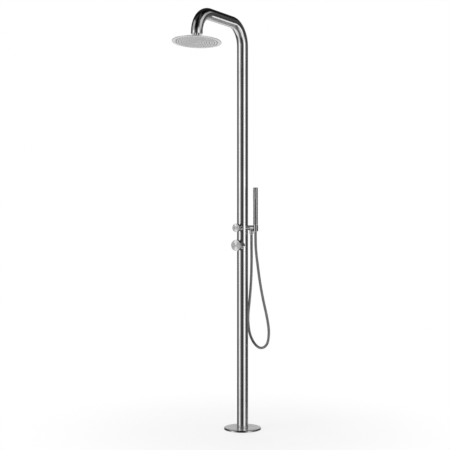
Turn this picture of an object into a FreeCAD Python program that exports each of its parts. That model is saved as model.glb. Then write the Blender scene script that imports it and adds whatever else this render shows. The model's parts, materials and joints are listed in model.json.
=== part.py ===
import FreeCAD, Part
import math
import os

import Sketcher
from FreeCAD import Vector

# Outdoor shower post: a bent tube on a floor flange, with a mixing valve, a diverter, a rain head
# on a ball joint, and a hand shower that hangs in a holder on the side.
# Frame, in mm: +Z up, origin on the post's axis at the underside of the floor flange. The arm
# and the two knobs point along -Y, and the hand shower's bracket points along +X.

SIZES = {
    # post and arm, one bent tube
    "post_d": 60,
    "post_wall": 2,
    "arm_height": 2185,
    "arm_reach": 445,
    "bend_radius": 114,
    "arm_drop": 120,
    # floor flange and its cover
    "flange_d": 186,
    "flange_thick": 8,
    "flange_bore": 52,
    "anchor_pcd": 140,
    "anchor_count": 4,
    "anchor_hole_d": 11,
    "anchor_sink_d": 20,
    "anchor_sink_depth": 4.5,
    "cover_d": 200,
    "cover_sheet": 1.5,
    "cover_edge": 0.8,
    "floor_gap": 0.3,
    "slide_gap": 0.4,
    # supply pipes inside the post
    "supply_offset": 12,
    "supply_pipe_d": 12,
    "pipe_wall": 1,
    "union_d": 22,
    "union_bottom": 2,
    "union_thread_d": 15,
    "union_thread_length": 12,
    "union_length": 24,
    "union_socket": 8,
    "spacer_thick": 6,
    "spacer_low": 300,
    "spacer_pitch": 350,
    # clearances
    "weld_gap": 0.05,
    "loose_gap": 0.3,
    "push_gap": 0.1,
    "running_gap": 0.05,
    # mixing valve
    "mixer_height": 996,
    "mixer_body_d": 40,
    "mixer_rear": 12,
    "mixer_floor": 9,
    "mixer_bore_d": 36,
    "mixer_socket_floor": 8,
    "mixer_port_d": 4.5,
    "mixer_port_across": 8,
    "mixer_port_place": 8.2,
    "mixer_recess": 12,
    "mixer_sleeve_d": 50,
    "mixer_knob_d": 60,
    # diverter
    "diverter_rise": 94,
    "diverter_body_d": 28,
    "diverter_rear": 10,
    "diverter_floor": 8.5,
    "diverter_bore_d": 24,
    "diverter_socket_floor": 6,
    "diverter_port_d": 4,
    "diverter_port_place": 5.8,
    "diverter_sleeve_d": 34,
    "diverter_knob_d": 45,
    # both valves, along the valve's own axis from the post's axis
    "valve_mouth": 52,
    "sleeve_front": 54,
    "knob_back": 55.5,
    "knob_front": 70,
    "knob_wall": 2.5,
    "knob_face": 4,
    "knob_hub_wall": 8,
    "knob_chamfer": 1,
    "cartridge_length": 28,
    "cartridge_wall": 3,
    "cartridge_base": 2,
    "disc_thick": 4,
    "spindle_d": 10,
    "ring_nut_length": 8,
    "ring_nut_bore": 16,
    "seal_section": 2.6,
    "seal_place": 14,
    "grub_d": 5,
    "grub_place": 60.5,
    # pipes between the valves, to the head and to the side outlet
    "link_pipe_d": 12,
    "riser_d": 14,
    "riser_wall": 2,
    "outlet_pipe_d": 12,
    "outlet_pipe_short": 1,
    # bracket with the hose outlet and the hand shower's holder
    "bracket_d": 26,
    "outlet_x": 56,
    "nipple_d": 16,
    "nipple_bore": 11,
    "nipple_top": 6,
    "nipple_bottom": 26,
    "hose_nut_d": 22,
    "hose_nut_top": 14,
    "hose_nut_floor": 4,
    "nut_chamfer": 1,
    "washer_thick": 1.5,
    "check_valve_length": 12,
    "check_valve_bore": 5,
    "ferrule_d": 18,
    "ferrule_length": 8,
    "holder_x": 81.5,
    "holder_drop": 2,
    "holder_d": 28,
    "holder_height": 33,
    "holder_edge": 1,
    "holder_slot": 15.4,
    # hose
    "hose_d": 14,
    "hose_bore": 9,
    # hand shower
    "cone_bottom_d": 18,
    "cone_top_d": 22,
    "cone_tail": 5.5,
    "cone_shoulder": 2.5,
    "cone_floor": 12.5,
    "handset_d": 25,
    "handset_wall": 1.4,
    "handset_length": 199,
    "handset_cap_thick": 4,
    "handset_insert": 15,
    "spray_width": 15.6,
    "spray_height": 50,
    "spray_from_top": 6,
    "spray_thick": 3,
    "spray_front": 14,
    "spray_mat": 1.5,
    "spray_nozzle_d": 2.4,
    "spray_nozzle_proud": 1.5,
    "spray_column_pitch": 4.4,
    "spray_row_pitch": 5.2,
    "spray_columns": 3,
    "spray_rows": 9,
    # rain head and its ball joint, measured from the ball's centre
    "ball_below_arm": 22,
    "ball_d": 16,
    "ball_neck_d": 10,
    "ball_bore": 6,
    "ball_nut_d": 24,
    "ball_nut_length": 10,
    "arm_nipple_length": 8.4,
    "arm_plug_thick": 4,
    "barb_length": 4.5,
    "filter_thick": 1,
    "filter_bore": 1.5,
    "collar_d": 32,
    "collar_top": 6,
    "collar_mouth_d": 17.6,
    "collar_throat_d": 14.8,
    "collar_throat": 3.4,
    "collar_skirt": 10,
    "hub_d": 26,
    "hub_top": 2,
    "hub_floor": 11.2,
    "hub_bore": 22,
    "seat_ball_d": 21.2,
    "seat_top": 5,
    "seat_bottom": 9.6,
    "seat_hole": 8,
    "head_d": 250,
    "head_top": 12.5,
    "head_fall": 2.5,
    "head_edge_in": 7,
    "head_edge_fall": 1.2,
    "head_bottom": 19.5,
    "head_sheet": 1.3,
    "head_tilt": 4,
    "mat_thick": 1,
    "mat_margin": 13,
    "nozzle_rings": 8,
    "nozzle_margin": 21,
    "nozzle_per_ring": 6,
    "nozzle_d": 3.4,
    "nozzle_tip_d": 2.2,
    "nozzle_proud": 2.5,
    "centre_screw_d": 10,
    "centre_screw_head": 1.5,
}

# The hose's route from the outlet's ferrule, down round the post's side, and up to the hand shower.
HOSE_ROUTE = [
    (56, 0, 1050.5), (56, 0, 1000), (54, 5, 920), (43, 19, 800), (23, 38, 700), (3, 53, 615),
    (0, 61, 556), (9, 61, 510), (29, 57, 474), (55, 50, 450), (85, 43, 438), (114, 37, 445),
    (136, 32, 466), (146, 29, 498), (149, 27, 545), (139, 22, 615), (120, 16, 700), (104, 10, 790),
    (92, 4, 890), (83.5, 1, 965), (81.5, 0, 1016), (81.5, 0, 1066),
]

# The height of each valve's axis. The bracket and the hand shower go with the diverter.
HEIGHT = {"mixer": "mixer_height", "diverter": "( mixer_height + diverter_rise )"}

doc = FreeCAD.newDocument("outdoor_shower_post")
sheet = doc.addObject("Spreadsheet::Sheet", "Sizes")
for row, (alias, number) in enumerate(SIZES.items(), start=1):
    sheet.set("A%d" % row, alias)
    sheet.set("B%d" % row, str(number))
    sheet.setAlias("B%d" % row, alias)
doc.recompute()

nodes = []


# ---------------------------------------------------------------- helpers

def bound(text):
    """The expression with each size's name led by the sheet's name."""
    words = text.replace("(", " ( ").replace(")", " ) ").split()
    return " ".join("Sizes." + word if word in SIZES else word for word in words)


def value(text):
    """The expression's present value in mm."""
    return float(sheet.evalExpression(bound(text)))


def keep(thing, label):
    """Name the finished sub-part and list it for export."""
    thing.Label = label
    nodes.append(thing)
    return thing


def place(thing, at=("0", "0", "0"), turn_axis=None, turn="0"):
    """Bind the placement: a point of three expressions, then a turn about an axis through it."""
    if turn_axis:
        thing.Placement = FreeCAD.Placement(Vector(), FreeCAD.Rotation(turn_axis, 1))
        thing.setExpression("Placement.Rotation.Angle", bound(turn))
    for axis, text in zip("xyz", at):
        thing.setExpression("Placement.Base." + axis, bound(text))
    return thing


def new_body(name):
    return doc.addObject("PartDesign::Body", name + "_body")


def new_sketch(body, name, role, offset=None):
    """A sketch on one of the body's own origin planes, raised by the offset along its normal."""
    plane = [item for item in body.Origin.OriginFeatures if item.Role == role][0]
    sketch = body.newObject("Sketcher::SketchObject", name)
    sketch.AttachmentSupport = [(plane, "")]
    sketch.MapMode = "FlatFace"
    if offset:
        sketch.setExpression("AttachmentOffset.Base.z", bound(offset))
    return sketch


def hold_point(sketch, geometry, end, point):
    """Tie one point of the sketch to its two expressions, measured from the sketch's origin."""
    for kind, text in zip(("DistanceX", "DistanceY"), point):
        rule = Sketcher.Constraint(kind, -1, 1, geometry, end, value(text))
        index = sketch.addConstraint(rule)
        sketch.setExpression("Constraints[%d]" % index, bound(text))


def draw_polygon(sketch, corners):
    points = [Vector(value(x), value(y), 0) for x, y in corners]
    count = len(points)
    for i in range(count):
        sketch.addGeometry(Part.LineSegment(points[i], points[(i + 1) % count]), False)
    for i in range(count):
        sketch.addConstraint(Sketcher.Constraint("Coincident", i, 2, (i + 1) % count, 1))
    for i, corner in enumerate(corners):
        hold_point(sketch, i, 1, corner)


def draw_circle(sketch, centre, diameter):
    middle = Vector(value(centre[0]), value(centre[1]), 0)
    circle = Part.Circle(middle, Vector(0, 0, 1), value(diameter) / 2)
    index = sketch.addGeometry(circle, False)
    rule = sketch.addConstraint(Sketcher.Constraint("Diameter", index, value(diameter)))
    sketch.setExpression("Constraints[%d]" % rule, bound(diameter))
    hold_point(sketch, index, 3, centre)


def turned_body(name, profile):
    """A body of revolution about its own Z axis, from (radius, height) corners."""
    body = new_body(name)
    sketch = new_sketch(body, name + "_profile", "XZ_Plane")
    draw_polygon(sketch, profile)
    spin = body.newObject("PartDesign::Revolution", name + "_turned")
    spin.Profile = sketch
    spin.ReferenceAxis = (sketch, ["V_Axis"])
    spin.Angle = 360
    sketch.Visibility = False
    body.Tip = spin
    return body


def padded(body, name, role, shapes, length, offset=None, backwards=False):
    """Add a pad of circles (centre, diameter) or polygons (corners), from an origin plane."""
    sketch = new_sketch(body, name + "_sketch", role, offset)
    draw_shapes(sketch, shapes)
    pad = body.newObject("PartDesign::Pad", name)
    pad.Profile = sketch
    pad.setExpression("Length", bound(length))
    pad.Reversed = backwards
    body.Tip = pad
    return pad


def pocket(body, name, role, shapes, length=None, offset=None, forwards=False):
    """Cut circles or polygons away from the sketch's plane: through both ways with no length."""
    sketch = new_sketch(body, name + "_sketch", role, offset)
    draw_shapes(sketch, shapes)
    cut = body.newObject("PartDesign::Pocket", name)
    cut.Profile = sketch
    if length:
        cut.setExpression("Length", bound(length))
        cut.Reversed = forwards
    else:
        cut.Type = "ThroughAll"
        cut.Midplane = True
    body.Tip = cut
    return cut


def draw_shapes(sketch, shapes):
    for shape in shapes:
        if len(shape) == 2:
            draw_circle(sketch, shape[0], shape[1])
        else:
            draw_polygon(sketch, shape)


def ring_profile(inner, outer, low, high):
    return [(inner, low), (outer, low), (outer, high), (inner, high)]


def ring(name, inner, outer, low, high):
    """A plain ring: inner and outer diameters, and its lowest and highest height."""
    half = [text + " / 2" for text in (inner, outer)]
    return turned_body(name, ring_profile(half[0], half[1], low, high))


def sphere(name, diameter):
    ball = doc.addObject("Part::Sphere", name)
    ball.setExpression("Radius", bound(diameter + " / 2"))
    return ball


def cut_by(name, base, tool):
    result = doc.addObject("Part::Cut", name)
    result.Base = base
    result.Tool = tool
    return result


def along_arm(name, start, end, outer, bore):
    """A bent tube that follows the post and the arm, from a start height to an end height."""
    body = new_body(name)
    path = new_sketch(body, name + "_path", "YZ_Plane")
    bend_start = "arm_height - bend_radius"
    far = "bend_radius - arm_reach"
    corners = [
        ("0", start), ("0", bend_start), ("0 - bend_radius", "arm_height"),
        (far, "arm_height"), ("0 - arm_reach", bend_start), ("0 - arm_reach", end),
    ]
    points = [Vector(value(x), value(y), 0) for x, y in corners]
    radius = value("bend_radius")
    middles = [
        Vector(-radius, value(bend_start), 0),
        Vector(value(far), value(bend_start), 0),
    ]
    for i in (0, 2, 4):
        path.addGeometry(Part.LineSegment(points[i], points[i + 1]), False)
    up = Vector(0, 0, 1)
    path.addGeometry(Part.ArcOfCircle(Part.Circle(middles[0], up, radius), 0, math.pi / 2), False)
    path.addGeometry(
        Part.ArcOfCircle(Part.Circle(middles[1], up, radius), math.pi / 2, math.pi), False)
    for line, (first, last) in enumerate(((0, 1), (2, 3), (4, 5))):
        hold_point(path, line, 1, corners[first])
        hold_point(path, line, 2, corners[last])
    for joined in ((3, 1, 0, 2), (3, 2, 1, 1), (4, 1, 1, 2), (4, 2, 2, 1)):
        path.addConstraint(Sketcher.Constraint("Coincident", *joined))
    for arc in (3, 4):
        rule = path.addConstraint(Sketcher.Constraint("Radius", arc, radius))
        path.setExpression("Constraints[%d]" % rule, bound("bend_radius"))
    section = new_sketch(body, name + "_section", "XY_Plane", start)
    draw_circle(section, ("0", "0"), outer)
    draw_circle(section, ("0", "0"), bore)
    pipe = body.newObject("PartDesign::AdditivePipe", name + "_pipe")
    pipe.Profile = section
    pipe.Spine = (path, ["Edge%d" % (i + 1) for i in range(5)])
    body.Tip = pipe
    return body


# ---------------------------------------------------------------- floor flange and its cover

def make_floor_flange():
    body = ring("floor_flange", "flange_bore", "flange_d", "0", "flange_thick")
    plane = [item for item in body.Origin.OriginFeatures if item.Role == "XY_Plane"][0]
    hole = body.newObject("PartDesign::SubtractiveCylinder", "anchor_hole")
    sink = body.newObject("PartDesign::SubtractiveCone", "anchor_sink")
    for tool, height in ((hole, "0"), (sink, "flange_thick - anchor_sink_depth")):
        tool.AttachmentSupport = [(plane, "")]
        tool.MapMode = "FlatFace"
        tool.setExpression("AttachmentOffset.Base.x", bound("anchor_pcd / 2"))
        tool.setExpression("AttachmentOffset.Base.z", bound(height))
    hole.setExpression("Radius", bound("anchor_hole_d / 2"))
    hole.setExpression("Height", bound("flange_thick"))
    sink.setExpression("Radius1", bound("anchor_hole_d / 2"))
    sink.setExpression("Radius2", bound("anchor_sink_d / 2"))
    sink.setExpression("Height", bound("anchor_sink_depth"))
    body.Tip = sink
    doc.recompute()
    axis = [item for item in body.Origin.OriginFeatures if item.Role == "Z_Axis"][0]
    holes = body.newObject("PartDesign::PolarPattern", "anchor_holes")
    holes.Originals = [hole, sink]
    holes.Axis = (axis, [""])
    holes.Angle = 360
    holes.setExpression("Occurrences", bound("anchor_count"))
    body.Tip = holes
    keep(body, "floor_flange")


def make_base_cover():
    top = "( flange_thick + cover_sheet )"
    mouth = "post_d / 2 + slide_gap"
    profile = [
        (mouth, "flange_thick"),
        ("cover_d / 2 - cover_sheet", "flange_thick"),
        ("cover_d / 2 - cover_sheet", "floor_gap"),
        ("cover_d / 2", "floor_gap"),
        ("cover_d / 2", top + " - cover_edge"),
        ("cover_d / 2 - cover_edge", top),
        (mouth, top),
    ]
    keep(turned_body("base_cover", profile), "base_cover")


# ---------------------------------------------------------------- post

def make_post():
    end = "arm_height - arm_drop"
    body = along_arm("post_tube", "flange_thick", end, "post_d", "post_d - 2 * post_wall")
    for valve, height in HEIGHT.items():
        shape = (("0", height), valve + "_body_d + 2 * loose_gap")
        pocket(body, valve + "_opening", "XZ_Plane", [shape], "post_d", forwards=True)
    shape = (("0", HEIGHT["diverter"]), "outlet_pipe_d + 2 * loose_gap")
    pocket(body, "outlet_opening", "YZ_Plane", [shape], "post_d", forwards=True)
    keep(body, "post_tube")


# ---------------------------------------------------------------- supply pipes

def make_supply(side, sign):
    """A union with a female thread at the floor, and the pipe from it up to the mixing valve."""
    at = (sign + " supply_offset", "0", "0")
    top = "union_bottom + union_length"
    profile = [
        ("union_thread_d / 2", "union_bottom"),
        ("union_d / 2", "union_bottom"),
        ("union_d / 2", top),
        ("supply_pipe_d / 2 + running_gap", top),
        ("supply_pipe_d / 2 + running_gap", top + " - union_socket"),
        ("supply_pipe_d / 2 - pipe_wall", top + " - union_socket"),
        ("supply_pipe_d / 2 - pipe_wall", "union_bottom + union_thread_length"),
        ("union_thread_d / 2", "union_bottom + union_thread_length"),
    ]
    keep(place(turned_body(side + "_union", profile), at), side + "_union")
    pipe = ring(
        side + "_supply_pipe", "( supply_pipe_d - 2 * pipe_wall )", "supply_pipe_d",
        top + " - union_socket", "mixer_height - mixer_socket_floor")
    keep(place(pipe, at), side + "_supply_pipe")


def make_pipe_spacers():
    """Two plastic discs that hold both supply pipes inside the post."""
    discs = []
    for i in range(2):
        name = "pipe_spacer_%d" % (i + 1)
        height = "spacer_low + %d * spacer_pitch" % i
        body = new_body(name)
        rim = (("0", "0"), "post_d - 2 * post_wall - 2 * loose_gap")
        padded(body, name + "_disc", "XY_Plane", [rim], "spacer_thick", height)
        hole = "supply_pipe_d + 2 * running_gap"
        holes = [(("supply_offset", "0"), hole), (("0 - supply_offset", "0"), hole)]
        pocket(body, name + "_holes", "XY_Plane", holes)
        discs.append(body)
    pair = doc.addObject("Part::Compound", "pipe_spacer_pair")
    pair.Links = discs
    keep(pair, "pipe_spacers")


# ---------------------------------------------------------------- valves
# A valve lies along its own Z axis, from the post's axis out to the knob's face along -Y.
# Turned by 90 degrees about X, its own Y axis points up.

X_AXIS = Vector(1, 0, 0)


def set_valve(thing, valve, label):
    keep(place(thing, ("0", "0", HEIGHT[valve]), X_AXIS, "90"), label)


# For each valve: the pipes that meet it below, above and on its +X side, as (offset, diameter),
# its ports through the ceramic discs, which side feeds the middle port, and the recess in the
# turning disc that joins the middle port to the others.
LAYOUT = {
    "mixer": {
        "below": [("supply_offset", "supply_pipe_d"), ("0 - supply_offset", "supply_pipe_d")],
        "above": [("0", "link_pipe_d")],
        "side": [],
        "ports": [
            ("0", "0"), ("mixer_port_across", "0 - mixer_port_place"),
            ("0 - mixer_port_across", "0 - mixer_port_place"),
        ],
        "middle_from": "above",
        "recess": [
            ("mixer_port_d / 2", "mixer_recess"), ("0 - mixer_recess / 2", "mixer_recess * 0.85"),
            ("0 - mixer_recess", "mixer_recess / 3"), ("0 - mixer_recess", "0 - mixer_recess / 3"),
            ("0", "0 - mixer_port_d / 2"), ("mixer_port_d / 2", "0"),
        ],
    },
    "diverter": {
        "below": [("0", "link_pipe_d")],
        "above": [("0", "riser_d")],
        "side": [("0", "outlet_pipe_d")],
        "ports": [("0", "0"), ("0", "diverter_port_place"), ("diverter_port_place", "0")],
        "middle_from": "below",
        "recess": [
            ("0 - diverter_port_d / 2", "0 - diverter_port_d / 2"),
            ("diverter_port_d / 2", "0 - diverter_port_d / 2"),
            ("diverter_port_d / 2", "diverter_port_place + diverter_port_d / 2"),
            ("0 - diverter_port_d / 2", "diverter_port_place + diverter_port_d / 2"),
        ],
    },
}


def port_circles(valve):
    return [(place_, valve + "_port_d") for place_ in LAYOUT[valve]["ports"]]


def make_valve_body(valve):
    """A cup for the cartridge, with sockets for the pipes that meet it and ports to its floor."""
    name = valve + "_body"
    outer, bore = valve + "_body_d / 2", valve + "_bore_d / 2"
    rear, floor = "0 - " + valve + "_rear", valve + "_floor"
    socket_floor = valve + "_socket_floor"
    body = turned_body(name, [
        ("0", rear), (outer, rear), (outer, "valve_mouth"), (bore, "valve_mouth"),
        (bore, floor), ("0", floor),
    ])
    # the XZ plane's normal is -Y, which is downwards once the valve lies in its place
    sides = (
        ("below", "XZ_Plane", socket_floor, True),
        ("above", "XZ_Plane", "0 - " + socket_floor, False),
        ("side", "YZ_Plane", socket_floor, True),
    )
    for side, plane, offset, forwards in sides:
        for i, (across, pipe_d) in enumerate(LAYOUT[valve][side]):
            shape = ((across, "0"), pipe_d + " + 2 * running_gap")
            pocket(body, "%s_socket_%s_%d" % (name, side, i + 1), plane, [shape], outer, offset,
                   forwards)
    middle = (("0", "0"), valve + "_port_d")
    pocket(body, name + "_passage", "XZ_Plane", [middle], socket_floor,
           forwards=LAYOUT[valve]["middle_from"] == "below")
    pocket(body, name + "_ports", "XY_Plane", port_circles(valve), floor, floor)
    set_valve(body, valve, name)


def make_valve_sleeve(valve):
    """The round boss that meets the post's wall, cut to its curve."""
    name = valve + "_sleeve"
    bore = valve + "_body_d + 2 * push_gap"
    body = ring(name, "( " + bore + " )", valve + "_sleeve_d", "0", "sleeve_front")
    post = (("0", "0"), "post_d + 2 * weld_gap")
    pocket(body, name + "_saddle", "XZ_Plane", [post])
    set_valve(body, valve, name)


def make_cartridge(valve):
    """The housing with its sealing groove, the two ceramic discs, the spindle and the ring nut."""
    floor = valve + "_floor"
    outer = "( " + valve + "_bore_d / 2 - running_gap )"
    inside = "( " + outer + " - cartridge_wall )"
    top = floor + " + cartridge_length"
    groove = "( " + outer + " - seal_section - push_gap )"
    place_low = floor + " + seal_place - seal_section / 2 - push_gap"
    place_high = floor + " + seal_place + seal_section / 2 + push_gap"
    cavity_top = top + " - cartridge_wall"
    stem = "spindle_d / 2"
    housing = turned_body(valve + "_cartridge", [
        ("0", floor), (outer, floor), (outer, place_low), (groove, place_low),
        (groove, place_high), (outer, place_high), (outer, top),
        (stem + " + running_gap", top), (stem + " + running_gap", cavity_top),
        (inside, cavity_top), (inside, floor + " + cartridge_base"),
        ("0", floor + " + cartridge_base"),
    ])
    pocket(housing, valve + "_cartridge_ports", "XY_Plane", port_circles(valve),
           "cartridge_base", floor, forwards=True)
    set_valve(housing, valve, valve + "_cartridge")
    seal = doc.addObject("Part::Torus", valve + "_seal_ring")
    seal.setExpression("Radius2", bound("seal_section / 2"))
    seal.setExpression("Radius1", bound(valve + "_bore_d / 2 - running_gap - seal_section / 2"))
    angle = FreeCAD.Rotation(X_AXIS, 90)
    seal.Placement = FreeCAD.Placement(Vector(), angle)
    seal.setExpression("Placement.Base.y", bound("0 - " + floor + " - seal_place"))
    seal.setExpression("Placement.Base.z", bound(HEIGHT[valve]))
    keep(seal, valve + "_seal")
    disc_low = floor + " + cartridge_base"
    disc_edge = "( 2 * ( " + inside + " - loose_gap ) )"
    fixed = ring(valve + "_fixed_disc", "0", disc_edge, disc_low, disc_low + " + disc_thick")
    pocket(fixed, valve + "_disc_ports", "XY_Plane", port_circles(valve), "disc_thick", disc_low,
           forwards=True)
    set_valve(fixed, valve, valve + "_fixed_disc")
    turning_low = disc_low + " + disc_thick + push_gap"
    turning_high = turning_low + " + disc_thick"
    turning = ring(valve + "_turning_disc", "0", disc_edge, turning_low, turning_high)
    pocket(turning, valve + "_disc_recess", "XY_Plane", [LAYOUT[valve]["recess"]],
           "disc_thick / 2", turning_low, forwards=True)
    set_valve(turning, valve, valve + "_turning_disc")
    carrier_high = cavity_top + " - push_gap"
    carrier_edge = "( " + inside + " - 2 * loose_gap )"
    spindle = turned_body(valve + "_spindle", [
        ("0", turning_high), (carrier_edge, turning_high), (carrier_edge, carrier_high),
        (stem, carrier_high), (stem, "knob_front - knob_face"), ("0", "knob_front - knob_face"),
    ])
    set_valve(spindle, valve, valve + "_spindle")
    nut_edge = "( " + valve + "_bore_d - 2 * running_gap )"
    nut = ring(valve + "_ring_nut", "ring_nut_bore", nut_edge, top, top + " + ring_nut_length")
    set_valve(nut, valve, valve + "_ring_nut")


def make_knob(valve):
    """A hollow round knob on the spindle, held by a grub screw through a hole in its rim."""
    name = valve + "_knob"
    edge = valve + "_knob_d / 2"
    inner = edge + " - knob_wall"
    bore = "spindle_d / 2 + running_gap"
    hub = "( spindle_d / 2 + knob_hub_wall )"
    ceiling = "knob_front - knob_face"
    body = turned_body(name, [
        (bore, "sleeve_front"), (hub, "sleeve_front"), (hub, ceiling), (inner, ceiling),
        (inner, "knob_back"), (edge + " - knob_chamfer", "knob_back"),
        (edge, "knob_back + knob_chamfer"), (edge, "knob_front - knob_chamfer"),
        (edge + " - knob_chamfer", "knob_front"), ("0", "knob_front"), ("0", ceiling),
        (bore, ceiling),
    ])
    hole = (("0", "grub_place"), "grub_d + 2 * running_gap")
    pocket(body, name + "_screw_hole", "XZ_Plane", [hole], valve + "_knob_d", forwards=True)
    set_valve(body, valve, name)
    screw_name = valve + "_grub_screw"
    screw = new_body(screw_name)
    shape = (("0", "grub_place"), "grub_d")
    padded(screw, screw_name + "_shank", "XZ_Plane", [shape], "knob_hub_wall - 2 * running_gap",
           bore)
    set_valve(screw, valve, screw_name)


def make_valves():
    for valve in LAYOUT:
        make_valve_body(valve)
        make_valve_sleeve(valve)
        make_cartridge(valve)
        make_knob(valve)


def make_pipes():
    """The link between the valves, the riser to the head and the short pipe to the bracket."""
    link = ring(
        "link_pipe", "( link_pipe_d - 2 * pipe_wall )", "link_pipe_d",
        "mixer_height + mixer_socket_floor", HEIGHT["diverter"] + " - diverter_socket_floor")
    keep(link, "link_pipe")
    riser = along_arm(
        "riser_hose", HEIGHT["diverter"] + " + diverter_socket_floor",
        "arm_height - arm_drop + arm_plug_thick", "riser_d", "riser_d - 2 * riser_wall")
    keep(riser, "riser_hose")
    outlet = ring(
        "outlet_pipe", "( outlet_pipe_d - 2 * pipe_wall )", "outlet_pipe_d",
        "diverter_socket_floor", "outlet_x - nipple_d / 2 - outlet_pipe_short")
    place(outlet, ("0", "0", HEIGHT["diverter"]), Vector(0, 1, 0), "90")
    keep(outlet, "outlet_pipe")


# ---------------------------------------------------------------- bracket and hose outlet

def make_bracket():
    """The side arm, cut to the post's and the holder's curves, with its water way."""
    body = new_body("bracket_arm")
    axis = ("0", HEIGHT["diverter"])
    padded(body, "bracket_bar", "YZ_Plane", [(axis, "bracket_d")], "holder_x")
    ends = (
        ("bracket_post_end", ("0", "0"), "post_d + 2 * weld_gap"),
        ("bracket_holder_end", ("holder_x", "0"), "holder_d + 2 * weld_gap"),
    )
    for name, centre, diameter in ends:
        pocket(body, name, "XY_Plane", [(centre, diameter)])
    way = (axis, "outlet_pipe_d + 2 * running_gap")
    pocket(body, "bracket_water_way", "YZ_Plane", [way], "outlet_x", forwards=True)
    seat = (("outlet_x", "0"), "nipple_d + 2 * running_gap")
    height = HEIGHT["diverter"] + " + nipple_top"
    pocket(body, "bracket_nipple_hole", "XY_Plane", [seat], "bracket_d", height)
    keep(body, "bracket_arm")


def set_outlet(thing, label):
    keep(place(thing, ("outlet_x", "0", HEIGHT["diverter"])), label)


def make_hose_outlet():
    """Heights here run from the bracket's axis, downwards as negative."""
    set_outlet(
        ring("outlet_nipple", "nipple_bore", "nipple_d", "0 - nipple_bottom", "nipple_top"),
        "outlet_nipple")
    valve_top = "0 - nipple_bottom + check_valve_length + washer_thick"
    set_outlet(
        ring("check_valve", "check_valve_bore", "( nipple_bore - 2 * running_gap )",
             "0 - nipple_bottom + washer_thick", valve_top),
        "check_valve")
    set_outlet(
        ring("outlet_washer", "hose_bore", "nipple_d", "0 - nipple_bottom - washer_thick",
             "0 - nipple_bottom"),
        "outlet_washer")
    shelf = "0 - nipple_bottom - washer_thick"
    bottom = shelf + " - hose_nut_floor"
    edge = "hose_nut_d / 2"
    thread = "nipple_d / 2 + running_gap"
    set_outlet(turned_body("hose_nut", [
        ("hose_bore / 2", bottom), (edge + " - nut_chamfer", bottom),
        (edge, bottom + " + nut_chamfer"), (edge, "0 - hose_nut_top - nut_chamfer"),
        (edge + " - nut_chamfer", "0 - hose_nut_top"), (thread, "0 - hose_nut_top"),
        (thread, shelf), ("hose_bore / 2", shelf),
    ]), "hose_nut")
    tail = bottom + " - ferrule_length"
    set_outlet(turned_body("hose_ferrule", [
        ("hose_bore / 2", tail), ("hose_d / 2", tail), ("ferrule_d / 2", bottom),
        ("hose_bore / 2", bottom),
    ]), "hose_ferrule")


def make_holder():
    """A ring with a tapered bore, open at the front so that the hose can pass."""
    half = "holder_height / 2"
    edge = "holder_d / 2"
    bore_low = "cone_bottom_d / 2 + loose_gap"
    bore_high = "cone_top_d / 2 + loose_gap"
    body = turned_body("holder_ring", [
        (bore_low, "0 - " + half), (edge + " - holder_edge", "0 - " + half),
        (edge, "0 - " + half + " + holder_edge"), (edge, half + " - holder_edge"),
        (edge + " - holder_edge", half), (bore_high, half),
    ])
    side = "holder_slot / 2"
    slot = [
        ("0 - " + side, "0"), ("0 - " + side, "0 - holder_d"), (side, "0 - holder_d"), (side, "0"),
    ]
    pocket(body, "holder_front_slot", "XY_Plane", [slot])
    set_handset(body, "holder_ring")


# ---------------------------------------------------------------- hand shower
# Heights run from the middle of the holder ring.

def set_handset(thing, label):
    keep(place(thing, ("holder_x", "0", HEIGHT["diverter"] + " - holder_drop")), label)


CONE_TOP = "holder_height / 2"
CONE_END = "( holder_height / 2 + cone_shoulder )"
GRIP_TOP = "( " + CONE_END + " + handset_length - handset_cap_thick )"
NUT_FLOOR = "( 0 - holder_height / 2 + cone_floor )"


def make_cone_nut():
    tail = "0 - holder_height / 2 - cone_tail"
    thread = "nipple_d / 2 + running_gap"
    set_handset(turned_body("hose_cone_nut", [
        ("hose_bore / 2", tail), ("cone_bottom_d / 2", tail),
        ("cone_bottom_d / 2", "0 - holder_height / 2"), ("cone_top_d / 2", CONE_TOP),
        ("cone_top_d / 2", CONE_END), (thread, CONE_END), (thread, NUT_FLOOR),
        ("hose_bore / 2", NUT_FLOOR),
    ]), "hose_cone_nut")
    set_handset(
        ring("cone_washer", "hose_bore", "nipple_d", NUT_FLOOR, NUT_FLOOR + " + washer_thick"),
        "cone_washer")
    low = NUT_FLOOR + " + washer_thick"
    inside = "handset_d / 2 - handset_wall - running_gap"
    set_handset(turned_body("handset_nipple", [
        ("hose_bore / 2", low), ("nipple_d / 2", low), ("nipple_d / 2", CONE_END),
        (inside, CONE_END), (inside, CONE_END + " + handset_insert"),
        ("hose_bore / 2", CONE_END + " + handset_insert"),
    ]), "handset_nipple")


def spray_box(width, height):
    """Corners, in the XZ plane, of a rectangle centred on the spray plate."""
    middle = GRIP_TOP + " - spray_from_top - spray_height / 2"
    high = middle + " + " + height + " / 2"
    low = middle + " - " + height + " / 2"
    return [("0 - " + width + " / 2", low), (width + " / 2", low),
            (width + " / 2", high), ("0 - " + width + " / 2", high)]


def make_handset():
    wall = "handset_d / 2 - handset_wall"
    grip = turned_body("handset_body", [
        (wall, CONE_END), ("handset_d / 2", CONE_END), ("handset_d / 2", GRIP_TOP),
        (wall, GRIP_TOP),
    ])
    window = spray_box("( spray_width + 2 * push_gap )", "( spray_height + 2 * push_gap )")
    pocket(grip, "spray_window", "XZ_Plane", [window], "handset_d", forwards=True)
    set_handset(grip, "handset_body")
    set_handset(turned_body("handset_cap", [
        ("0", GRIP_TOP), ("handset_d / 2", GRIP_TOP),
        ("handset_d / 2", GRIP_TOP + " + handset_cap_thick - knob_chamfer"),
        ("handset_d / 2 - knob_chamfer", GRIP_TOP + " + handset_cap_thick"),
        ("0", GRIP_TOP + " + handset_cap_thick"),
    ]), "handset_cap")


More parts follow.
